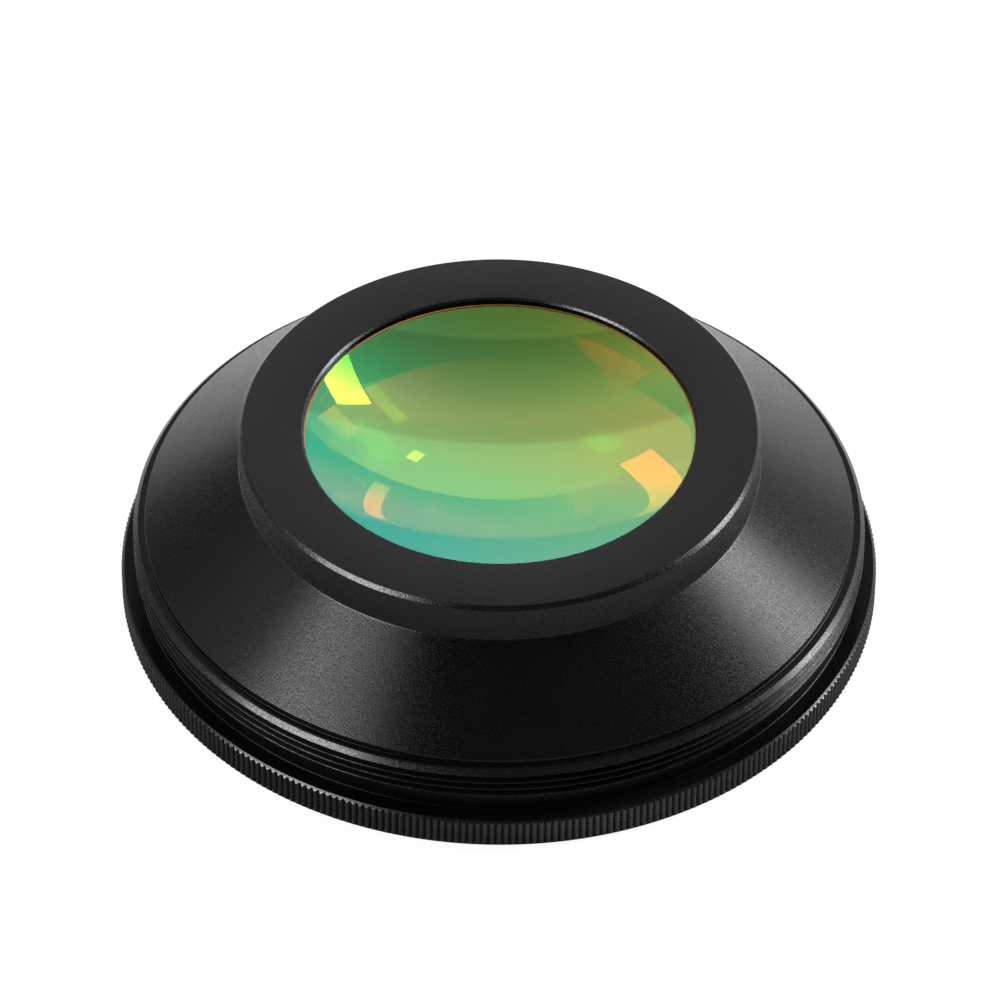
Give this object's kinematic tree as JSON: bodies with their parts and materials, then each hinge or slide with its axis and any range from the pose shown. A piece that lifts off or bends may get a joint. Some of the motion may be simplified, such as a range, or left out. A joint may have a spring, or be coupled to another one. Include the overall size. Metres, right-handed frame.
{
  "type": "f theta scan lens",
  "caption": "Air-spaced f-theta scan lens for an infrared marking laser, in a black housing with a knurled flange, a fine external thread, a conical nose and coated optics.",
  "frame": {"origin": "centre of the flange's underside, on the optical axis and on the surface that the lens stands on", "axes": "+Z along the optical axis, from the flange to the entrance aperture that faces the scan mirrors; the body is round about it, so the directions of +X and +Y are arbitrary"},
  "size_m": [0.088, 0.088, 0.0236],
  "materials": {
    "black_anodised_housing": "fine turned and matte black anodised, with bright edges on the thread chamfer",
    "black_anodised_inner": "dull black anodised",
    "coated_zinc_selenide": "polished, with a multilayer coating that reflects green, teal and orange",
    "cushion_rubber": "matte"
  },
  "bodies": {
    "root": {"housing": "black_anodised_housing", "entrance_lens": "coated_zinc_selenide", "entrance_lens_o_ring": "cushion_rubber", "lens_spacer": "black_anodised_inner", "exit_lens": "coated_zinc_selenide", "exit_lens_o_ring": "cushion_rubber", "retaining_ring": "black_anodised_inner"}
  },
  "joints": []
}
